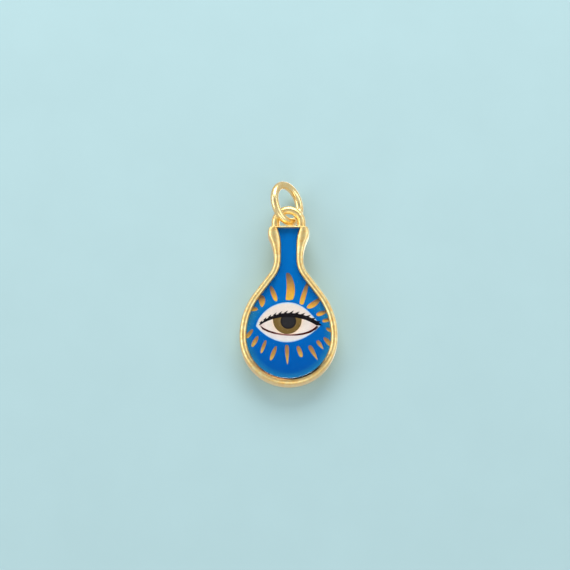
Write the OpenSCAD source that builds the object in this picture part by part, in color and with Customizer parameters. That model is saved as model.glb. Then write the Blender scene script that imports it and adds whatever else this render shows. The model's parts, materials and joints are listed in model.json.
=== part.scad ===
// Evil eye charm: a flask-shaped gold case with an enamelled eye under a clear coat, on a jump ring.
// +Z runs up the charm, the eye faces -Y, and the origin is the middle of the jump ring's opening.

/* [Jump ring] */
// Outside diameter of the ring
ring_outer = 5.2; // [4.6:0.1:7]
// Thickness of the round wire
ring_wire = 0.88; // [0.6:0.02:1]
// Turn of the ring about the upright, away from facing the front (degrees)
ring_yaw = 49.6; // [40:0.1:60]
// Lean of the ring back from the upright (degrees)
ring_lean = 5.7; // [0:0.1:12]
// Width of the cut where the ring closes
ring_cut = 0.05; // [0.03:0.01:0.2]
// Place of the cut, round from the lowest point towards the back (degrees)
ring_cut_at = 55; // [40:1:140]

/* [Hanging eye] */
// Free space between the wire and the side of the hole
eye_play = 0.55; // [0.54:0.01:0.8]
// Thickness of the arch's round limb
eye_limb = 0.92; // [0.6:0.02:0.96]
// Height of the wire's middle above the middle of the hole
eye_seat = 0.12; // [0:0.02:0.14]
// Straight drop from the middle of the hole to the case's top bar
eye_drop = 0.58; // [0.5:0.02:1.2]

/* [Case outline] */
// Widest part of the round body
body_width = 10.84; // [9:0.02:13.4]
// Height of the straight stretch at the widest part
side_height = 0.16; // [0.1:0.02:1.5]
// Radius of the rounding from the sides to the shoulders
shoulder_radius = 8.05; // [6.5:0.05:9.7]
// Slope of the shoulders from the upright (degrees)
shoulder_slope = 36.8; // [32:0.2:42]
// Radius of the hollow curve from the shoulders into the neck
neck_radius = 2.9; // [2.3:0.05:3.6]
// Width of the neck at its narrowest
neck_width = 3.26; // [2.7:0.02:4]
// Height from the narrowest part of the neck to the widest part of the lip
lip_rise = 3.04; // [2.4:0.02:3.7]
// Widest part of the lip
lip_width = 4.64; // [4.3:0.02:5.6]
// Radius of the lip's rounded side
lip_radius = 1.2; // [0.9:0.05:1.5]
// Height of the lip above its widest part
lip_top = 0.6; // [0.4:0.02:0.8]
// Width of the lip's opening inside the rim
mouth_width = 2.44; // [2.1:0.02:3]
// Height from the narrowest part of the neck to the start of the opening's flare
mouth_start = 1.5; // [0:0.1:2]

/* [Case section] */
// Depth of the case, front to back
case_depth = 2.2; // [1.8:0.02:3]
// Width of the raised rim round the front
rim_width = 0.78; // [0.5:0.02:0.9]
// Size of the bevel round the back edge
back_bevel = 0.2; // [0.1:0.02:0.3]
// Rise of the bar above the lip
bar_rise = 0.12; // [0.06:0.02:0.3]
// Thickness of the bar
bar_thickness = 0.27; // [0.2:0.01:0.4]
// Depth from the rim's crest to the clear coat at the body's sides
coat_recess = 0.4; // [0.2:0.01:0.5]
// Thickness of the clear coat at the body's sides
coat_edge = 0.2; // [0.1:0.01:0.35]
// Extra thickness of the clear coat along its middle
coat_dome = 0.15; // [0.05:0.01:0.18]
// Thickness of the coloured pieces under the clear coat
colour_thickness = 0.12; // [0.08:0.01:0.2]
// Thickness of the white ground under the colours
ground_thickness = 0.12; // [0.08:0.01:0.2]

/* [Eye] */
// Diameter of the iris
iris_size = 3.18; // [2.6:0.02:3.6]
// Diameter of the pupil
pupil_size = 1.76; // [1.2:0.02:2.2]
// Width of the pale line round the eye
outline_width = 0.13; // [0.08:0.01:0.25]
// Number of lashes on the upper lid
lash_count = 12; // [8:1:16]
// Length of the longest lash
lash_length = 0.42; // [0.3:0.02:0.6]

/* [Hidden] */
// Number of steps in one curve of the artwork
curve_steps = 10;
// Turn of one step along the outline's arcs, steps across the rim's crest, and across the coat
arc_step = 5;
crest_steps = 6;
dome_steps = 16;
$fn = 96;

// The arch stands with its limbs flush with the ends of the bar across the lip
wire_r = ring_wire / 2;
hole_r = wire_r + eye_play;
limb_r = eye_limb / 2;
limb_mid = hole_r + limb_r;

// Half sizes and the chain of tangent arcs that makes one side of the outline,
// as [across, up] from the middle of the body
body_r = body_width / 2;
neck_r = neck_width / 2;
lip_r = lip_width / 2;
bead_r = rim_width / 2;
shoulder_middle = [body_r - shoulder_radius, side_height];
shoulder_end = shoulder_middle + shoulder_radius * [cos(shoulder_slope), sin(shoulder_slope)];
neck_start_x = neck_r + neck_radius * (1 - cos(shoulder_slope));
neck_start_y = shoulder_end.y + (shoulder_end.x - neck_start_x) / tan(shoulder_slope);
neck_y = neck_start_y + neck_radius * sin(shoulder_slope);
lip_middle = [lip_r - lip_radius, neck_y + lip_rise];
lip_turn = asin(lip_top / lip_radius);
bar_top = lip_middle.y + lip_top + bar_rise;
mouth_y = bar_top - bar_thickness;
// The flare from the neck meets the lip's round side without a corner
flare_reach = lip_middle.x - neck_r;
flare_radius = (flare_reach ^ 2 + lip_rise ^ 2 - lip_radius ^ 2) / (2 * (flare_reach + lip_radius));
flare_angle = atan2(lip_rise, neck_r + flare_radius - lip_middle.x);
// The coloured field inside the rim runs straight up the neck and then flares to the mouth
field_r = body_r - rim_width;
field_neck = neck_r - rim_width;
flare_height = mouth_y - neck_y - mouth_start;
function field_half(up) =
    field_neck + (mouth_width / 2 - field_neck) * (max(0, up - mouth_start) / flare_height) ^ 2;

// Points along an arc from one angle to another. Each is a pair: the point on the outline,
// and the point across the rim from it. A hollow arc has the case outside its circle.
function arc(middle, radius, from, to, hollow = false) =
    let (steps = ceil(abs(to - from) / arc_step), inner = radius + (hollow ? rim_width : -rim_width))
    [for (i = [0 : steps]) let (a = from + (to - from) * i / steps, lead = [cos(a), sin(a)])
        [middle + radius * lead, middle + inner * lead]];
// The same points with the inner ones moved to the field's edge, evenly from the neck to the mouth
function along_mouth(pairs) =
    [for (i = [1 : len(pairs) - 1]) let (up = (mouth_y - neck_y) * i / (len(pairs) - 1))
        [pairs[i][0], [field_half(up), neck_y + up]]];
function without_first(list) = [for (i = [1 : len(list) - 1]) list[i]];
flare_and_lip = concat(
    arc([neck_r + flare_radius, neck_y], flare_radius, 180, 180 - flare_angle, hollow = true),
    without_first(arc(lip_middle, lip_radius, -flare_angle, lip_turn)));
right_side = concat(
    arc([0, 0], body_r, -90, 0),
    arc(shoulder_middle, shoulder_radius, 0, shoulder_slope),
    arc([neck_r + neck_radius, neck_y], neck_radius, 180 + shoulder_slope, 180, hollow = true),
    along_mouth(flare_and_lip),
    [[[limb_mid + limb_r, bar_top], [mouth_width / 2 - bar_thickness / 2, mouth_y]]]);
left_side = [for (i = [len(right_side) - 1 : -1 : 1]) [for (p = right_side[i]) [-p.x, p.y]]];
rim_pairs = concat(right_side, left_side);

// Depths from the middle of the case, towards the front
front = case_depth / 2;
bead_base = front - bead_r;
colour_top = front - coat_recess - coat_edge;
ground_top = colour_top - colour_thickness;
floor_top = ground_top - ground_thickness;
coat_radius = (field_r ^ 2 + coat_dome ^ 2) / (2 * coat_dome);

// Places in the part's own frame
ring_r = ring_outer / 2 - wire_r;
pivot = ring_r * [sin(ring_lean) * sin(ring_yaw), -sin(ring_lean) * cos(ring_yaw), -cos(ring_lean)];
hole_z = pivot.z - eye_seat;
body_z = hole_z - eye_drop - bar_top;

// The artwork is drawn for a field of this half width and follows the real one
art_field = 4.65;
art_scale = field_r / art_field;

// Eye artwork as [across, up] from the middle of the body. Each curve lists its two ends
// with two handles between them.
almond_left = [-3.6, 1.2];
almond_top = [-0.1, 3.9];
almond_right = [3.54, 1.3];
almond_bottom = [-0.2, -0.62];
almond_curves = [
    [almond_left, [-3.4, 2.4], [-2, 3.9], almond_top],
    [almond_top, [1.6, 3.9], [2.5, 2.6], almond_right],
    [almond_right, [2.7, 0.3], [1.2, -0.62], almond_bottom],
    [almond_bottom, [-1.6, -0.62], [-2.9, 0.3], almond_left]];
almond_middle = [0, 1.65];
almond_half = [3.6, 2.28];
opening_left = [-3.18, 1.3];
opening_right = [3.12, 1.26];
opening_upper = [opening_left, [-1.4, 2.55], [1.2, 2.58], opening_right];
opening_lower = [opening_left, [-1.6, 0.02], [1.9, -0.1], opening_right];
lash_left = [-3.32, 1.32];
lash_right = [3.76, 1.28];
lash_top = [lash_left, [-1.75, 3.16], [1.75, 3.18], lash_right];
lid_line_bottom = [[-3.34, 1.22], [-2.2, -0.12], [2.2, -0.38], [3.34, 1.1]];
// Lashes: the first one's lean from level and how much less the last one leans (degrees), how late
// that change comes, the shortest one's share of the longest, and the root's half width and depth
lash_lean = 62;
lash_lean_change = 48;
lash_lean_delay = 1.4;
lash_shortest = 0.7;
lash_half = 0.15;
lash_root = 0.12;
// Shares of one lash's spacing that are left free before the first lash and after the last one
lash_before = 0.65;
lash_after = 0.95;
iris_middle = [-0.14, 1.9];
pupil_middle = [-0.03, 1.76];

// Each ray: [end near the eye, end near the rim, width, bow to one side,
// sharpness of the near end, sharpness of the far end], from 0.1 for square to 1 for a point
upper_rays = [
    [[-3.42, 3.12], [-4.4, 3.24], 0.58, 0, 0.45, 0.2],
    [[-2.96, 3.36], [-3.12, 4.74], 0.74, -0.1, 0.7, 0.4],
    [[-1.35, 4.02], [-2, 5.78], 0.54, 0, 0.4, 0.45],
    [[0.07, 4.12], [-0.12, 7.3], 0.95, -0.25, 0.12, 0.35],
    [[1.4, 3.64], [2.2, 6.28], 0.54, 0.04, 0.15, 0.4],
    [[2.04, 3.26], [3.62, 4.48], 0.62, -0.1, 0.5, 0.75],
    [[3.08, 2.46], [4.26, 2.92], 0.5, 0, 0.4, 0.6],
    [[3.74, 1.76], [4.62, 2], 0.42, 0, 0.4, 0.4],
    [[4.14, 1], [4.9, 0.58], 0.42, 0, 0.4, 0.3]];
lower_rays = [
    [[-3.96, 0.84], [-4.66, -0.12], 0.42, 0, 0.45, 0.3],
    [[-3.38, 0.08], [-4.04, -1.12], 0.46, 0, 0.5, 0.45],
    [[-2.5, -0.38], [-3.04, -1.84], 0.38, 0, 0.45, 0.5],
    [[-1.36, -1.04], [-2, -2.66], 0.46, 0, 0.6, 0.55],
    [[-0.2, -0.9], [-0.13, -3.1], 0.44, 0, 0.25, 0.75],
    [[1, -1.04], [1.44, -2.28], 0.5, 0, 0.35, 0.35],
    [[2.26, -0.98], [3.2, -2.64], 0.48, 0, 0.35, 1],
    [[3.14, -0.42], [3.82, -1.4], 0.42, 0, 0.35, 0.9],
    [[3.88, -0.06], [4.9, -1.16], 0.5, 0, 0.45, 0.4]];

function names(stem, count) = [for (i = [1 : count]) str(stem, "_", i)];
upper_names = names("upper_ray", len(upper_rays));
lower_names = names("lower_ray", len(lower_rays));

// A point on a curve with two handles, and the whole curve without its last point
function on_curve(c, t) =
    (1 - t) ^ 3 * c[0] + 3 * (1 - t) ^ 2 * t * c[1] + 3 * (1 - t) * t ^ 2 * c[2] + t ^ 3 * c[3];
function along(c) = [for (i = [0 : curve_steps - 1]) on_curve(c, i / curve_steps)];
function back_along(c) = along([c[3], c[2], c[1], c[0]]);

// Half width of a ray, as a share of its full half width, at a share t of its length
function ray_share(t, near, far) =
    let (widest = near / (near + far))
    (t ^ near * (1 - t) ^ far) / (widest ^ near * (1 - widest) ^ far);
function ray_outline(r) =
    let (length = norm(r[1] - r[0]), lead = (r[1] - r[0]) / length, side = [-lead.y, lead.x],
         ts = [for (i = [0 : curve_steps]) (1 - cos(180 * i / curve_steps)) / 2])
    concat([for (t = ts) r[0] + t * length * lead
                         + (4 * r[3] * t * (1 - t) + r[2] / 2 * ray_share(t, r[4], r[5])) * side],
           [for (i = [curve_steps - 1 : -1 : 1]) let (t = ts[i]) r[0] + t * length * lead
                         + (4 * r[3] * t * (1 - t) - r[2] / 2 * ray_share(t, r[4], r[5])) * side]);

// Puts a drawing in the case's own plane, with depth 0 at the case's middle and the front up
module in_case() {
    translate([pivot.x, pivot.y, body_z]) rotate([90, 0, 0]) children();
}

module both_sides() {
    children();
    mirror([1, 0, 0]) children();
}

module slab(from, to) {
    translate([0, 0, from]) linear_extrude(to - from) children();
}

// The area inside the rim
module field() {
    polygon([for (pair = rim_pairs) pair[1]]);
}

// The rim's section, as [share of the way across the rim, depth], round from the outside of the back
rim_section = concat(
    [[0, back_bevel - front], [back_bevel / rim_width, -front], [1, -front]],
    [for (i = [0 : crest_steps]) let (a = 180 * i / crest_steps)
        [(1 + cos(a)) / 2, bead_base + bead_r * sin(a)]]);

// The rim's section carried round the whole outline
module rim_band() {
    around = len(rim_pairs);
    across = len(rim_section);
    points = [for (pair = rim_pairs) for (s = rim_section)
        let (p = pair[0] + s[0] * (pair[1] - pair[0])) [p.x, p.y, s[1]]];
    faces = [for (i = [0 : around - 1]) for (j = [0 : across - 1])
        let (next = (i + 1) % around, up = (j + 1) % across,
             a = i * across + j, b = next * across + j, c = next * across + up, d = i * across + up)
        each [[a, b, c], [a, c, d]]];
    polyhedron(points, faces);
}

module rays(list) {
    for (r = list) ray(r);
}

module ray(r) {
    difference() {
        intersection() {
            art() polygon(ray_outline(r));
            field();
        }
        art() almond();
    }
}

module art() {
    scale(art_scale) children();
}

module almond() {
    polygon([for (c = almond_curves) each along(c)]);
}

module almond_inside() {
    shrink = [1 - outline_width / almond_half.x, 1 - outline_width / almond_half.y];
    polygon([for (c = almond_curves) for (p = along(c))
             almond_middle + [(p.x - almond_middle.x) * shrink.x, (p.y - almond_middle.y) * shrink.y]]);
}

module opening() {
    polygon(concat(along(opening_upper), back_along(opening_lower)));
}

// The upper lid's dark line with its short lashes, which lean over more towards the right
module lashes() {
    polygon(concat(along(lash_top), [lash_right], back_along(opening_upper), [opening_left]));
    for (i = [1 : lash_count]) {
        t = (i - 1 + lash_before) / (lash_count - 1 + lash_before + lash_after);
        foot = on_curve(lash_top, t);
        lean = lash_lean - lash_lean_change * t ^ lash_lean_delay;
        lead = [cos(lean), sin(lean)];
        side = lash_half * [-lead.y, lead.x];
        reach = lash_length * (lash_shortest + (1 - lash_shortest) * sin(180 * t));
        root = foot - lash_root * lead;
        polygon([root + side, foot + reach * lead, root - side]);
    }
}

module lid_line() {
    polygon(concat(along(opening_lower), [opening_right], back_along(lid_line_bottom)));
}

module jump_ring() {
    cut_angle = ring_cut / ring_r * 180 / PI;
    color("gold")
        rotate([90 - ring_lean, 0, ring_yaw])
            rotate_extrude(angle = 360 - cut_angle, start = ring_cut_at - 90 + cut_angle / 2)
                translate([ring_r, 0]) circle(wire_r);
}

module hanging_eye() {
    color("gold")
        translate([pivot.x, pivot.y, hole_z]) {
            rotate([90, 0, 0]) rotate_extrude(angle = 180) translate([limb_mid, 0]) circle(limb_r);
            both_sides() translate([limb_mid, 0, -eye_drop]) cylinder(h = eye_drop, r = limb_r);
        }
}

module bezel_frame() {
    color("goldenrod") in_case() rim_band();
}

module back_plate() {
    color("darkgoldenrod") in_case() slab(-front, floor_top) field();
}

module ground_coat() {
    color("white") in_case() slab(floor_top, ground_top) field();
}

module colour() {
    in_case() slab(ground_top, colour_top) children();
}

module enamel_field() {
    color("royalblue")
        colour() difference() {
            field();
            rays(upper_rays);
            rays(lower_rays);
            art() almond();
            art() lashes();
        }
}

module eye_outline() {
    color("lightblue")
        colour() art() difference() {
            almond();
            almond_inside();
            lashes();
        }
}

module eyelid() {
    color("seashell")
        colour() art() difference() {
            almond_inside();
            opening();
            lashes();
            lid_line();
        }
}

module eye_white() {
    color("linen")
        colour() art() difference() {
            opening();
            translate(iris_middle) circle(d = iris_size);
            lashes();
        }
}

module iris() {
    color("darkgoldenrod")
        colour() art() difference() {
            intersection() {
                opening();
                translate(iris_middle) circle(d = iris_size);
            }
            translate(pupil_middle) circle(d = pupil_size);
            lashes();
        }
}

module pupil() {
    color("black")
        colour() art() difference() {
            intersection() {
                opening();
                translate(pupil_middle) circle(d = pupil_size);
            }
            lashes();
        }
}

module lash_line() {
    color("black") colour() art() lashes();
}

module lower_lid_line() {
    color("maroon") colour() art() lid_line();
}

// The coat's domed section, from side to side
module dome() {
    drop = coat_radius - coat_edge - coat_dome;
    reach = 2 * asin(field_r / coat_radius);
    polygon(concat([for (i = [0 : dome_steps]) let (a = 90 - reach + 2 * reach * i / dome_steps)
                       [coat_radius * cos(a), coat_radius * sin(a) - drop]],
                   [[-2 * field_r, -coat_edge], [2 * field_r, -coat_edge]]));
}

module clear_coat() {
    color("aliceblue", 0.4)
        in_case() intersection() {
            slab(colour_top, front) field();
            translate([0, 2 * body_width, colour_top]) rotate([90, 0, 0])
                linear_extrude(4 * body_width) dome();
        }
}

module coloured_ray(r) {
    color("orange") colour() ray(r);
}

jump_ring();
hanging_eye();
bezel_frame();
back_plate();
ground_coat();
enamel_field();
for (i = [0 : len(upper_rays) - 1])
    coloured_ray(upper_rays[i]);
for (i = [0 : len(lower_rays) - 1])
    coloured_ray(lower_rays[i]);
eye_outline();
eyelid();
eye_white();
iris();
pupil();
lash_line();
lower_lid_line();
clear_coat();
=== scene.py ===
"""Evil eye charm: flask-shaped gold case, enamelled eye and rays under a clear coat, jump ring."""
import json
import math

import bmesh
import bpy
from mathutils import Matrix, Vector


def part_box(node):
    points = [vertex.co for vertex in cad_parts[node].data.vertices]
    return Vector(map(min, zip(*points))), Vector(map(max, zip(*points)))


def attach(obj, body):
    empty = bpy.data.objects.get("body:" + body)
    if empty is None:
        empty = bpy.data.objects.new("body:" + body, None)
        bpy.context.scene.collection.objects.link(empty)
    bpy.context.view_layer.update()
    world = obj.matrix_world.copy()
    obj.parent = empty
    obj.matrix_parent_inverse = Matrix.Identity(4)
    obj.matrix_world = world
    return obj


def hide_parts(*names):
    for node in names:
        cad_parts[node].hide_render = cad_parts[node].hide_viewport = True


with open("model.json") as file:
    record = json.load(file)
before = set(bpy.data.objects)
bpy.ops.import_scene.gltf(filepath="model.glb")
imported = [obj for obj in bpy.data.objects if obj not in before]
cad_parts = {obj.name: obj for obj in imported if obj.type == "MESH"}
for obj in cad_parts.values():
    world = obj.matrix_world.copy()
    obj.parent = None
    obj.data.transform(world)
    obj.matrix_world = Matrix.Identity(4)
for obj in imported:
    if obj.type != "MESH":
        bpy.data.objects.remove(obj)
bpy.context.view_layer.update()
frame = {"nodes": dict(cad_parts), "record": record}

MM = 0.001
NODES = frame["nodes"]
RECORD = frame["record"]
RING_AXIS = Vector(next(m for m in RECORD["mounts"] if m["name"] == "chain_opening")["axis"])

# The blue field inside the rim: its box, and the middle and half width of the round body
FIELD_LOW, FIELD_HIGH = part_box("enamel_field")
FIELD_HALF = (FIELD_HIGH.x - FIELD_LOW.x) / 2
BODY_MIDDLE = Vector((FIELD_LOW.x + FIELD_HALF, 0, FIELD_LOW.z + FIELD_HALF))
CASE_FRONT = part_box("bezel_frame")[0].y

# The painted dark reflection inside the bottom of the rim, standing in for the dark and the gold that the
# inner wall mirrors there.
# Each pair is where it is still full and where it is gone: out from the field's edge, up from the field's
# lowest point, and back from the front of the rim.
REFLECTION_OUT = (0.24 * MM, 0.4 * MM)
REFLECTION_UP = (1.0 * MM, 3.0 * MM)
REFLECTION_BACK = (0.5 * MM, 0.7 * MM)
# The painted reflection's colours: brown on the left, where the wall mirrors the gold, near black on the
# right, where it mirrors the dark
REFLECTION_LEFT = (0.26, 0.12, 0.04, 1)
REFLECTION_RIGHT = (0.012, 0.01, 0.008, 1)
# Where the painted reflection's colour changes, in half widths of the body from the lower left corner of the
# field's box
REFLECTION_CHANGE = (0.85, 1.1)

# The painted reflection at the brink of the blue, greener where the gold shows in the resin's edge, in half
# widths of the body:
# how far out it starts, and how far above the body's middle it begins to fade away upwards
BRINK_REFLECTION_START = 0.84
BRINK_REFLECTION_FADE = 0.5
TEAL = (34, 126, 176)

# The enamel has no gloss of its own, since the resin over it gives the gloss
ENAMEL_ROUGHNESS = 0.55

# The clear resin: its lift off the colours, the rounding of its brink, and its ripple. The brink is the
# edges sharper than the angle whose ends lie at one depth, to within the level.
RESIN_LIFT = 0.008 * MM
RESIN_BRINK = 0.1 * MM
RESIN_BRINK_STEPS = 3
RESIN_BRINK_ANGLE = math.radians(50)
RESIN_BRINK_LEVEL = 0.05 * MM
RESIN_RIPPLE = 0.01 * MM
RESIN_IOR = 1.38

# Points nearer than these are taken as one: in a CAD mesh, and in a piece modelled here
CAD_MERGE = 0.0005 * MM
PIECE_MERGE = 0.001 * MM

# The case frame: how flat and how square two triangles must lie to be joined, how sharp an edge has to be
# to stay crisp, and how crisp it then stays under the rounding
JOIN_FLAT = math.radians(12)
JOIN_SHAPE = math.radians(60)
CRISP_ANGLE = math.radians(38)
CRISPNESS = 0.8
ROUNDING_LEVELS = 2

# The eye's shading. WHITE_REACH is in half widths of the iris, and is how far it shades the white. The
# others are in half widths of the pupil: where the iris's colours start, and where the pupil's do.
WHITE_REACH = 1.9
IRIS_START = 0.9
PUPIL_START = 0.6
# How far from its left end the lower lid's line has its last colour
LID_LINE_REACH = 6.6 * MM

# The card behind the charm: half its width, its cells along a side, and its gap to the case
CARD_HALF = 0.4
CARD_CELLS = 8
CARD_GAP = 0.02 * MM

# The jump ring, as its wire is bent, then the steps round a wire and along a whole ring
WIRE_R = 0.44 * MM
RING_R = 2.16 * MM
RING_CUT = 0.05 * MM
RING_CUT_AT = math.radians(55)
ROUND_STEPS = 32
RING_STEPS = 96

# How brightly this light shows a paint, set by trial: in the open, under the resin, and a pale one there
LIGHT = 1.19
ART_LIGHT = 1.06
PALE_LIGHT = 1.27

# The view: the camera looks up at AIM by the tilt, and sees VIEW_WIDTH across there
CAMERA_TILT = math.radians(13.5)
LENS = 100.0
SENSOR = 36.0
VIEW_WIDTH = 63.56 * MM
AIM = Vector((-0.234 * MM, 0.0, -9.437 * MM))


# ---------------------------------------------------------------- colour and shader helpers

def linear(r, g, b, light=ART_LIGHT):
    """A colour as it should look, turned into the paint that looks so in this light."""
    def one(v):
        v /= 255
        v = v / 12.92 if v <= 0.04045 else ((v + 0.055) / 1.055) ** 2.4
        return min(v / light, 0.95)
    return (one(r), one(g), one(b), 1.0)


def pale(r, g, b):
    """The same for a pale colour, which passes light on to itself under the resin."""
    return linear(r, g, b, PALE_LIGHT)


def node(tree, kind, inputs=None, **settings):
    """A shader node with its settings made and its sockets filled or joined."""
    made = tree.nodes.new(kind)
    for key, value in settings.items():
        setattr(made, key, value)
    for key, value in (inputs or {}).items():
        if isinstance(value, bpy.types.NodeSocket):
            tree.links.new(value, made.inputs[key])
        else:
            made.inputs[key].default_value = value
    return made


def new_group(name, ins, outs):
    """An empty shader group with its sockets, and its input and output nodes."""
    group = bpy.data.node_groups.new(name, "ShaderNodeTree")
    for label, kind, value in ins:
        socket = group.interface.new_socket(label, in_out="INPUT", socket_type=kind)
        socket.default_value = value
    for label, kind in outs:
        group.interface.new_socket(label, in_out="OUTPUT", socket_type=kind)
    return group, group.nodes.new("NodeGroupInput"), group.nodes.new("NodeGroupOutput")


def use(tree, group, **inputs):
    """A group placed in a material, with this material's own values."""
    made = tree.nodes.new("ShaderNodeGroup")
    made.node_tree = group
    for key, value in inputs.items():
        if isinstance(value, bpy.types.NodeSocket):
            tree.links.new(value, made.inputs[key])
        else:
            made.inputs[key].default_value = value
    return made


def blend_colours(tree, mask, low, high):
    """low where the mask is 0 and high where it is 1."""
    mix = node(tree, "ShaderNodeMix", data_type="RGBA")
    for socket, value in ((mix.inputs[0], mask), (mix.inputs[6], low), (mix.inputs[7], high)):
        if isinstance(value, bpy.types.NodeSocket):
            tree.links.new(value, socket)
        else:
            socket.default_value = value
    return mix.outputs[2]


def ramp(tree, mask, stops):
    """Colours along a mask, as (place, colour) pairs."""
    made = node(tree, "ShaderNodeValToRGB", {"Fac": mask})
    elements = made.color_ramp.elements
    while len(elements) < len(stops):
        elements.new(0.5)
    for element, (place, colour) in zip(elements, stops):
        element.position = place
        element.color = colour
    return made.outputs["Color"]


def new_material(name):
    """A material with its surface shader."""
    material = bpy.data.materials.new(name)
    material.use_nodes = True
    return material, material.node_tree, material.node_tree.nodes["Principled BSDF"]


def give(obj, material):
    """One material over the whole of a piece or a CAD node."""
    if obj.data.materials:
        for i in range(len(obj.data.materials)):
            obj.data.materials[i] = material
    else:
        obj.data.materials.append(material)


# ---------------------------------------------------------------- shared effects

def make_mottle():
    """Slight uneven strength in a colour, as pigment or plating has."""
    group, start, end = new_group(
        "mottle",
        [("Colour", "NodeSocketColor", (1, 1, 1, 1)), ("Amount", "NodeSocketFloat", 0.1),
         ("Scale", "NodeSocketFloat", 1000.0)],
        [("Colour", "NodeSocketColor")])
    place = node(group, "ShaderNodeTexCoord")
    noise = node(group, "ShaderNodeTexNoise",
                 {"Vector": place.outputs["Object"], "Scale": start.outputs["Scale"],
                  "Detail": 3.0, "Roughness": 0.6})
    spread = node(group, "ShaderNodeMapRange",
                  {"Value": noise.outputs["Fac"], "From Min": 0.3, "From Max": 0.7,
                   "To Min": -1.0, "To Max": 1.0})
    amount = node(group, "ShaderNodeMath", {0: spread.outputs[0], 1: start.outputs["Amount"]},
                  operation="MULTIPLY")
    change = node(group, "ShaderNodeMath", {0: amount.outputs[0], 1: 1.0}, operation="ADD")
    scaled = node(group, "ShaderNodeVectorMath", {0: start.outputs["Colour"], "Scale": change.outputs[0]},
                  operation="SCALE")
    group.links.new(scaled.outputs[0], end.inputs["Colour"])
    return group


def make_plating():
    """Polished plating: faint drift in colour, cloudy polish and fine pits."""
    group, start, end = new_group(
        "plating",
        [("Colour", "NodeSocketColor", (1, 1, 1, 1)), ("Deep", "NodeSocketColor", (1, 1, 1, 1)),
         ("Smooth", "NodeSocketFloat", 0.12), ("Cloudy", "NodeSocketFloat", 0.1),
         ("Scale", "NodeSocketFloat", 900.0)],
        [("Colour", "NodeSocketColor"), ("Roughness", "NodeSocketFloat"), ("Height", "NodeSocketFloat")])
    place = node(group, "ShaderNodeTexCoord").outputs["Object"]
    broad = node(group, "ShaderNodeTexNoise", {"Vector": place, "Scale": start.outputs["Scale"],
                                               "Detail": 4.0, "Roughness": 0.65})
    times_finer, broad_share = 4.0, 0.6
    fine_scale = node(group, "ShaderNodeMath", {0: start.outputs["Scale"], 1: times_finer},
                      operation="MULTIPLY")
    fine = node(group, "ShaderNodeTexNoise", {"Vector": place, "Scale": fine_scale.outputs[0],
                                              "Detail": 5.0, "Roughness": 0.7})
    mask = node(group, "ShaderNodeMapRange",
                {"Value": broad.outputs["Fac"], "From Min": 0.35, "From Max": 0.65})
    colour = blend_colours(group, mask.outputs[0], start.outputs["Colour"], start.outputs["Deep"])
    cloud = node(group, "ShaderNodeMath", {0: fine.outputs["Fac"], 1: start.outputs["Cloudy"],
                                           2: start.outputs["Smooth"]}, operation="MULTIPLY_ADD")
    height = node(group, "ShaderNodeMath", {0: broad.outputs["Fac"], 1: broad_share, 2: fine.outputs["Fac"]},
                  operation="MULTIPLY_ADD")
    group.links.new(colour, end.inputs["Colour"])
    group.links.new(cloud.outputs[0], end.inputs["Roughness"])
    group.links.new(height.outputs[0], end.inputs["Height"])
    return group


def make_rise():
    """A mask from 0 at a low height to 1 at a high one."""
    group, start, end = new_group(
        "rise", [("Low", "NodeSocketFloat", 0.0), ("High", "NodeSocketFloat", 1.0)],
        [("Mask", "NodeSocketFloat")])
    place = node(group, "ShaderNodeTexCoord").outputs["Object"]
    parts = node(group, "ShaderNodeSeparateXYZ", {"Vector": place})
    mask = node(group, "ShaderNodeMapRange", {"Value": parts.outputs["Z"], "From Min": start.outputs["Low"],
                                              "From Max": start.outputs["High"]})
    group.links.new(mask.outputs[0], end.inputs["Mask"])
    return group


def make_rings_out():
    """A mask from 0 within one distance of an upright front-facing centre to 1 beyond another."""
    group, start, end = new_group(
        "rings_out",
        [("Centre", "NodeSocketVector", (0, 0, 0)), ("Near", "NodeSocketFloat", 0.0),
         ("Far", "NodeSocketFloat", 1.0)],
        [("Mask", "NodeSocketFloat")])
    place = node(group, "ShaderNodeTexCoord").outputs["Object"]
    away = node(group, "ShaderNodeVectorMath", {0: place, 1: start.outputs["Centre"]}, operation="SUBTRACT")
    flat = node(group, "ShaderNodeVectorMath", {0: away.outputs[0], 1: (1, 0, 1)}, operation="MULTIPLY")
    far = node(group, "ShaderNodeVectorMath", {0: flat.outputs[0]}, operation="LENGTH")
    mask = node(group, "ShaderNodeMapRange",
                {"Value": far.outputs["Value"], "From Min": start.outputs["Near"],
                 "From Max": start.outputs["Far"]})
    group.links.new(mask.outputs[0], end.inputs["Mask"])
    return group


MOTTLE = make_mottle()
PLATING = make_plating()
RISE = make_rise()
RINGS_OUT = make_rings_out()


# ---------------------------------------------------------------- materials

def gold(name, colour, deep, smooth, cloudy, scale, bump, tint=None):
    """Plated metal. tint puts a local change of colour together in the material's own tree."""
    material, tree, surface = new_material(name)
    plating = use(tree, PLATING, Colour=colour, Deep=deep, Smooth=smooth, Cloudy=cloudy, Scale=scale)
    surface.inputs["Metallic"].default_value = 1.0
    shown = tint(tree, plating.outputs["Colour"]) if tint else plating.outputs["Colour"]
    tree.links.new(shown, surface.inputs["Base Color"])
    tree.links.new(plating.outputs["Roughness"], surface.inputs["Roughness"])
    relief = node(tree, "ShaderNodeBump", {"Height": plating.outputs["Height"], "Distance": bump})
    tree.links.new(relief.outputs["Normal"], surface.inputs["Normal"])
    return material


def enamel(name, colour_of, amount=0.05, scale=1400.0):
    """Enamel colour. colour_of puts the colour together in the material's own tree."""
    material, tree, surface = new_material(name)
    shade = use(tree, MOTTLE, Colour=colour_of(tree), Amount=amount, Scale=scale)
    tree.links.new(shade.outputs["Colour"], surface.inputs["Base Color"])
    surface.inputs["Roughness"].default_value = ENAMEL_ROUGHNESS
    surface.inputs["Specular IOR Level"].default_value = 0.0
    return material


def rising(low, high, stops):
    """Colours from a low height to a high one."""
    def colour_of(tree):
        return ramp(tree, use(tree, RISE, Low=low, High=high).outputs["Mask"], stops)
    return colour_of


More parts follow.
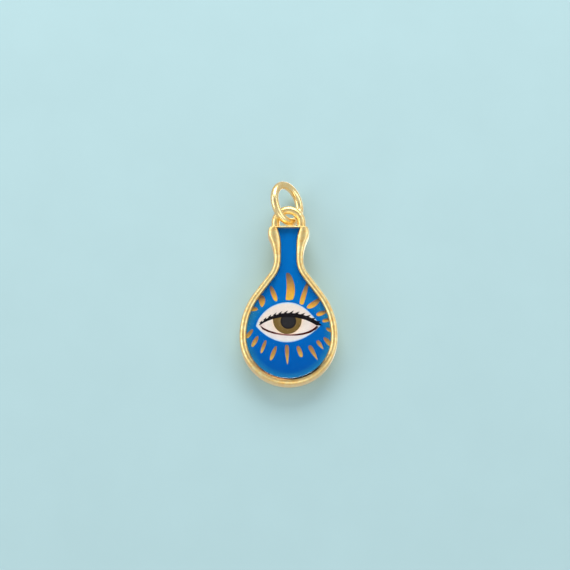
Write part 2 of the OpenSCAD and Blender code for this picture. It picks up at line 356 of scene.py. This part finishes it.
def outwards(centre, near, far, stops):
    """Colours from near a centre outwards."""
    def colour_of(tree):
        return ramp(tree, use(tree, RINGS_OUT, Centre=centre, Near=near, Far=far).outputs["Mask"], stops)
    return colour_of


def painted_brink_reflection(colour_of):
    """The blue is painted greener towards the body's rim, a painted reflection of the gold that shows in the
    resin.
    """
    def with_brink_reflection(tree):
        out = use(tree, RINGS_OUT, Centre=BODY_MIDDLE, Near=FIELD_HALF * BRINK_REFLECTION_START, Far=FIELD_HALF)
        high = use(tree, RISE, Low=BODY_MIDDLE.z + FIELD_HALF * BRINK_REFLECTION_FADE, High=BODY_MIDDLE.z + FIELD_HALF)
        most = node(tree, "ShaderNodeMath", {0: 1.0, 1: high.outputs["Mask"]}, operation="SUBTRACT")
        share = node(tree, "ShaderNodeMath", {0: out.outputs["Mask"], 1: most.outputs[0]},
                     operation="MULTIPLY")
        return blend_colours(tree, share.outputs[0], colour_of(tree), linear(*TEAL))
    return with_brink_reflection


def painted_wall_reflection(tree, colour):
    """Paints a dark reflection on the rim's inner edge along the bottom, from brown on the left to black on
    the right.
    """
    near = use(tree, RINGS_OUT, Centre=BODY_MIDDLE, Near=FIELD_HALF + REFLECTION_OUT[0],
               Far=FIELD_HALF + REFLECTION_OUT[1])
    up = use(tree, RISE, Low=FIELD_LOW.z + REFLECTION_UP[0], High=FIELD_LOW.z + REFLECTION_UP[1])
    place = node(tree, "ShaderNodeTexCoord").outputs["Object"]
    parts = node(tree, "ShaderNodeSeparateXYZ", {"Vector": place})
    behind = node(tree, "ShaderNodeMapRange", {"Value": parts.outputs["Y"],
                                               "From Min": CASE_FRONT + REFLECTION_BACK[0],
                                               "From Max": CASE_FRONT + REFLECTION_BACK[1]})
    away = node(tree, "ShaderNodeMath", {0: near.outputs["Mask"], 1: up.outputs["Mask"]},
                operation="MAXIMUM")
    clear = node(tree, "ShaderNodeMath", {0: away.outputs[0], 1: behind.outputs[0]}, operation="MAXIMUM")
    across = use(tree, RINGS_OUT, Centre=(FIELD_LOW.x, 0, FIELD_LOW.z),
                 Near=FIELD_HALF * REFLECTION_CHANGE[0], Far=FIELD_HALF * REFLECTION_CHANGE[1])
    dark = blend_colours(tree, across.outputs["Mask"], REFLECTION_LEFT, REFLECTION_RIGHT)
    return blend_colours(tree, clear.outputs[0], dark, colour)


def resin():
    """Clear resin with a faint ripple and a faint smear in its gloss."""
    material, tree, surface = new_material("clear_resin")
    place = node(tree, "ShaderNodeTexCoord").outputs["Object"]
    ripple = node(tree, "ShaderNodeTexNoise", {"Vector": place, "Scale": 350.0, "Detail": 1.5})
    relief = node(tree, "ShaderNodeBump", {"Height": ripple.outputs["Fac"], "Distance": RESIN_RIPPLE})
    tree.links.new(relief.outputs["Normal"], surface.inputs["Normal"])
    smear = node(tree, "ShaderNodeMapRange", {"Value": ripple.outputs["Fac"], "To Min": 0.01, "To Max": 0.05})
    tree.links.new(smear.outputs[0], surface.inputs["Roughness"])
    surface.inputs["Base Color"].default_value = (0.99, 1.0, 1.0, 1.0)
    surface.inputs["Transmission Weight"].default_value = 1.0
    surface.inputs["IOR"].default_value = RESIN_IOR
    return material


def plain(colour):
    """One colour all over."""
    return lambda tree: colour


def middle(name):
    """The middle of a CAD node's box."""
    low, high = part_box(name)
    return (low + high) / 2


# ---------------------------------------------------------------- pieces

def finish_piece(bm, name, body, replaced, material, smooth_angle=35.0):
    """Turns a bmesh into a piece on its CAD body, smooth apart from edges sharper than smooth_angle."""
    bmesh.ops.recalc_face_normals(bm, faces=bm.faces)
    for face in bm.faces:
        face.smooth = True
    for edge in bm.edges:
        if len(edge.link_faces) == 2 and edge.calc_face_angle(0.0) > math.radians(smooth_angle):
            edge.smooth = False
    mesh = bpy.data.meshes.new(name)
    bm.to_mesh(mesh)
    bm.free()
    piece = bpy.data.objects.new(name, mesh)
    bpy.context.scene.collection.objects.link(piece)
    give(piece, material)
    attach(piece, body)
    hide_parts(replaced)
    return piece


def jump_ring(material):
    """Round wire spun almost all the way round, with its two cut ends closed."""
    bm = bmesh.new()
    stand = Matrix.Translation((RING_R, 0, 0)) @ Matrix.Rotation(math.radians(90), 4, "X")
    bmesh.ops.create_circle(bm, segments=ROUND_STEPS, radius=WIRE_R, matrix=stand)
    cut = RING_CUT / RING_R
    bmesh.ops.rotate(bm, verts=bm.verts, cent=(0, 0, 0),
                     matrix=Matrix.Rotation(RING_CUT_AT - math.radians(90) + cut / 2, 3, "Z"))
    bmesh.ops.spin(bm, geom=bm.verts[:] + bm.edges[:], cent=(0, 0, 0), axis=(0, 0, 1),
                   angle=-(math.tau - cut), steps=RING_STEPS, use_merge=False)
    bmesh.ops.holes_fill(bm, edges=[e for e in bm.edges if e.is_boundary])
    yaw = math.atan2(RING_AXIS.x, -RING_AXIS.y)
    lean = math.asin(RING_AXIS.z)
    bmesh.ops.rotate(bm, verts=bm.verts, cent=(0, 0, 0),
                     matrix=Matrix.Rotation(yaw, 3, "Z") @ Matrix.Rotation(math.radians(90) - lean, 3, "X"))
    finish_piece(bm, "ring_wire", "ring", "jump_ring", material)


def hanging_eye(material):
    """Round bar bent over into an arch, with two straight feet on the lip."""
    low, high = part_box("hanging_eye")
    centre = (low + high) / 2
    limb = (high.y - low.y) / 2
    reach = (high.x - low.x) / 2 - limb
    arch_z = high.z - reach - limb
    bm = bmesh.new()
    bmesh.ops.create_circle(bm, segments=ROUND_STEPS, radius=limb,
                            matrix=Matrix.Translation((centre.x + reach, centre.y, low.z)))
    foot = bmesh.ops.extrude_edge_only(bm, edges=bm.edges[:])["geom"]
    top = [v for v in foot if isinstance(v, bmesh.types.BMVert)]
    bmesh.ops.translate(bm, verts=top, vec=(0, 0, arch_z - low.z))
    rim = [e for e in foot if isinstance(e, bmesh.types.BMEdge)]
    end = bmesh.ops.spin(bm, geom=top + rim, cent=(centre.x, centre.y, arch_z), axis=(0, 1, 0),
                         angle=-math.pi, steps=RING_STEPS // 2, use_merge=False)["geom_last"]
    last = bmesh.ops.extrude_edge_only(
        bm, edges=[e for e in end if isinstance(e, bmesh.types.BMEdge)])["geom"]
    bmesh.ops.translate(bm, verts=[v for v in last if isinstance(v, bmesh.types.BMVert)],
                        vec=(0, 0, low.z - arch_z))
    bmesh.ops.holes_fill(bm, edges=[e for e in bm.edges if e.is_boundary])
    bmesh.ops.remove_doubles(bm, verts=bm.verts, dist=PIECE_MERGE)
    finish_piece(bm, "eye_arch", "case", "hanging_eye", material)


def merged_copy(cad_node):
    """A CAD node's shape as one closed mesh."""
    bm = bmesh.new()
    bm.from_mesh(NODES[cad_node].data)
    bmesh.ops.remove_doubles(bm, verts=bm.verts, dist=CAD_MERGE)
    return bm


def case_frame(material):
    """The wall and its rounded rim, with the steps of the CAD's outline smoothed out."""
    bm = merged_copy("bezel_frame")
    bmesh.ops.join_triangles(bm, faces=bm.faces, angle_face_threshold=JOIN_FLAT,
                             angle_shape_threshold=JOIN_SHAPE)
    bmesh.ops.recalc_face_normals(bm, faces=bm.faces)
    crease = bm.edges.layers.float.new("crease_edge")
    for edge in bm.edges:
        if len(edge.link_faces) == 2 and edge.calc_face_angle(0.0) > CRISP_ANGLE:
            edge[crease] = CRISPNESS
    piece = finish_piece(bm, "case_rim", "case", "bezel_frame", material, smooth_angle=180.0)
    rounding = piece.modifiers.new("rounding", "SUBSURF")
    rounding.levels = rounding.render_levels = ROUNDING_LEVELS


def clear_coat(material):
    """The domed clear resin over the colours, a hair above them."""
    bm = merged_copy("clear_coat")
    back = max(v.co.y for v in bm.verts)
    floor = [v for v in bm.verts if v.co.y > back - PIECE_MERGE]
    bmesh.ops.translate(bm, verts=floor, vec=(0, -RESIN_LIFT, 0))
    brink = [e for e in bm.edges if e.calc_face_angle(0.0) > RESIN_BRINK_ANGLE
             and max(v.co.y for v in e.verts) < back - RESIN_BRINK
             and abs(e.verts[0].co.y - e.verts[1].co.y) < RESIN_BRINK_LEVEL]
    bmesh.ops.bevel(bm, geom=brink, affect="EDGES", offset=RESIN_BRINK, segments=RESIN_BRINK_STEPS,
                    profile=0.5, material=-1, clamp_overlap=True)
    bm.normal_update()
    for edge in bm.edges:
        if sum(face.normal.y < -0.99 for face in edge.link_faces) == 1:
            edge.smooth = False
    piece = finish_piece(bm, "resin_dome", "case", "clear_coat", material, smooth_angle=30.0)
    piece.visible_shadow = False


# The case gold carries the painted dark reflection inside the bottom of the rim
CASE_GOLD = gold("case_gold", (1.0, 0.87, 0.44, 1), deep=(0.98, 0.62, 0.2, 1), smooth=0.24, cloudy=0.16,
                 scale=2000.0, bump=0.022 * MM, tint=painted_wall_reflection)
RING_GOLD = gold("ring_gold", (1.0, 0.86, 0.46, 1), deep=(1.0, 0.72, 0.3, 1), smooth=0.2, cloudy=0.12,
                 scale=1100.0, bump=0.008 * MM)
BACK_GOLD = gold("back_gold", (1.0, 0.75, 0.28, 1), deep=(0.98, 0.7, 0.22, 1), smooth=0.2, cloudy=0.12,
                 scale=500.0, bump=0.006 * MM)

jump_ring(RING_GOLD)
hanging_eye(CASE_GOLD)
case_frame(CASE_GOLD)
clear_coat(resin())

iris_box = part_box("iris")
pupil_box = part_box("pupil")
iris_half = (iris_box[1].x - iris_box[0].x) / 2
iris_centre = Vector((middle("iris").x, 0, iris_box[0].z + iris_half))
pupil_half = (pupil_box[1].x - pupil_box[0].x) / 2
pupil_centre = Vector((middle("pupil").x, 0, pupil_box[0].z + pupil_half))

enamels = {
    "ground_coat": plain(pale(240, 238, 230)),
    # The blue field carries a painted reflection at its brink, where the gold shows in the resin
    "enamel_field": painted_brink_reflection(rising(FIELD_LOW.z, FIELD_HIGH.z,
                                      # Painted shade: the blue is painted darker towards the bottom of the
                                      # field
                                      [(0.0, linear(0, 80, 160)), (0.22, linear(0, 91, 170)),
                                       (0.5, linear(0, 102, 180)), (0.8, linear(0, 104, 182)),
                                       (1.0, linear(0, 104, 182))])),
    "eye_outline": plain(pale(190, 221, 243)),
    "eyelid": rising(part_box("eyelid")[0].z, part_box("eyelid")[1].z,
                     [(0.0, pale(238, 232, 230)), (0.3, pale(236, 222, 216)), (0.5, pale(240, 226, 214)),
                      (1.0, pale(240, 228, 218))]),
    "eye_white": outwards(iris_centre, iris_half, iris_half * WHITE_REACH,
                          [(0.0, pale(252, 222, 186)), (0.14, pale(240, 226, 213)),
                           (0.6, pale(242, 230, 222)), (1.0, pale(232, 206, 198))]),
    "iris": outwards(iris_centre, pupil_half * IRIS_START, iris_half,
                     [(0.0, linear(128, 107, 64)), (0.4, linear(116, 93, 50)), (0.88, linear(111, 89, 46)),
                      (1.0, linear(94, 75, 38))]),
    "pupil": outwards(pupil_centre, pupil_half * PUPIL_START, pupil_half,
                      [(0.0, linear(43, 42, 44)), (0.75, linear(40, 37, 37)), (1.0, linear(26, 20, 16))]),
    "lash_line": plain(linear(22, 20, 23)),
    "lower_lid_line": outwards(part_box("lower_lid_line")[0], 0.0, LID_LINE_REACH,
                               [(0.0, linear(38, 8, 8)), (0.22, linear(70, 20, 18)),
                                (0.38, linear(150, 104, 98)), (0.52, linear(140, 92, 88)),
                                (0.62, linear(70, 14, 14)), (1.0, linear(52, 8, 8))]),
}
for name, colour_of in enamels.items():
    give(NODES[name], enamel(name + "_enamel", colour_of))

UPPER_RAY = [(0.0, linear(220, 177, 64)), (0.35, linear(210, 152, 58)), (0.7, linear(156, 118, 72)),
             (1.0, linear(98, 84, 78))]
LOWER_RAY = [(0.0, linear(206, 172, 84)), (0.3, linear(190, 150, 74)), (0.65, linear(166, 122, 68)),
             (1.0, linear(136, 106, 76))]
for name in sorted(NODES):
    if "ray" in name:
        low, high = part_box(name)
        stops = UPPER_RAY if name.startswith("upper") else LOWER_RAY
        give(NODES[name], enamel(name + "_enamel", rising(low.z, high.z, stops), amount=0.09, scale=2500.0))

give(NODES["back_plate"], BACK_GOLD)


# ---------------------------------------------------------------- backdrop, light and camera

def backdrop():
    """The pale card that the charm lies on. From behind it lets the charm be seen."""
    ring_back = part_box("jump_ring")[1].y
    case_low, case_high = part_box("bezel_frame")
    tilt = math.atan2(ring_back - case_high.y, -case_low.z)
    bm = bmesh.new()
    bmesh.ops.create_grid(bm, x_segments=CARD_CELLS, y_segments=CARD_CELLS, size=CARD_HALF)
    bmesh.ops.rotate(bm, verts=bm.verts, cent=(0, 0, 0),
                     matrix=Matrix.Rotation(math.radians(90) - tilt, 3, "X"))
    bmesh.ops.translate(bm, verts=bm.verts,
                        vec=(0, case_high.y + CARD_GAP - math.tan(tilt) * case_low.z, 0))
    mesh = bpy.data.meshes.new("card")
    bm.to_mesh(mesh)
    bm.free()
    card = bpy.data.objects.new("card", mesh)
    bpy.context.scene.collection.objects.link(card)
    material, tree, surface = new_material("card")
    shade = use(tree, MOTTLE, Colour=linear(190, 224, 229, LIGHT), Amount=0.012, Scale=120.0)
    tree.links.new(shade.outputs["Colour"], surface.inputs["Base Color"])
    surface.inputs["Roughness"].default_value = 0.9
    surface.inputs["Specular IOR Level"].default_value = 0.05
    clear = node(tree, "ShaderNodeBsdfTransparent")
    side = node(tree, "ShaderNodeNewGeometry")
    mix = node(tree, "ShaderNodeMixShader", {0: side.outputs["Backfacing"], 1: surface.outputs[0],
                                             2: clear.outputs[0]})
    tree.links.new(mix.outputs[0], tree.nodes["Material Output"].inputs["Surface"])
    give(card, material)
    card.visible_shadow = False
    card.visible_glossy = False


def softbox(name, place, size, radiance):
    """A flat even lamp that faces the charm."""
    lamp = bpy.data.lights.new(name, "AREA")
    lamp.shape = "RECTANGLE"
    lamp.size, lamp.size_y = size
    lamp.energy = radiance * math.pi * size[0] * size[1]
    holder = bpy.data.objects.new(name, lamp)
    holder.location = place
    holder.rotation_euler = (AIM - Vector(place)).to_track_quat("-Z", "Y").to_euler()
    bpy.context.scene.collection.objects.link(holder)


def studio():
    """White tent round the charm, with the dark opening that the charm is looked at through."""
    world = bpy.data.worlds.new("studio")
    world.use_nodes = True
    bpy.context.scene.world = world
    tree = world.node_tree
    background = tree.nodes["Background"]
    place = node(tree, "ShaderNodeTexCoord").outputs["Generated"]
    opening = Vector((0, -math.cos(CAMERA_TILT), math.sin(CAMERA_TILT)))
    facing = node(tree, "ShaderNodeVectorMath", {0: place, 1: opening}, operation="DOT_PRODUCT")
    tent = (0.58, 0.58, 0.58, 1)
    # Each place is the cosine of the angle from the opening's middle
    colours = ramp(tree, facing.outputs["Value"],
                   [(0.0, tent), (0.955, tent), (0.975, (0.25, 0.25, 0.26, 1)),
                    (0.985, (0.08, 0.08, 0.09, 1)), (1.0, (0.05, 0.05, 0.06, 1))])
    tree.links.new(colours, background.inputs["Color"])
    softbox("top_softbox", (0.0, -0.14, 0.24), size=(0.26, 0.16), radiance=4.7)
    softbox("left_softbox", (-0.26, -0.14, 0.02), size=(0.12, 0.3), radiance=2.2)
    softbox("right_softbox", (0.26, -0.16, 0.0), size=(0.1, 0.3), radiance=1.8)
    softbox("low_softbox", (0.03, -0.16, -0.27), size=(0.22, 0.12), radiance=1.4)
    softbox("rear_softbox", (0.1, 0.3, 0.12), size=(0.25, 0.25), radiance=1.2)


def camera():
    """The camera, far enough back to see VIEW_WIDTH at the charm."""
    lens = bpy.data.cameras.new("camera")
    lens.lens = LENS
    lens.sensor_width = SENSOR
    lens.clip_start = 0.005
    holder = bpy.data.objects.new("camera", lens)
    look = Vector((0, math.cos(CAMERA_TILT), math.sin(CAMERA_TILT)))
    holder.location = AIM - look * (VIEW_WIDTH * LENS / SENSOR)
    holder.rotation_euler = look.to_track_quat("-Z", "Y").to_euler()
    bpy.context.scene.collection.objects.link(holder)
    bpy.context.scene.camera = holder


backdrop()
studio()
camera()
bpy.context.scene.view_settings.view_transform = "Standard"
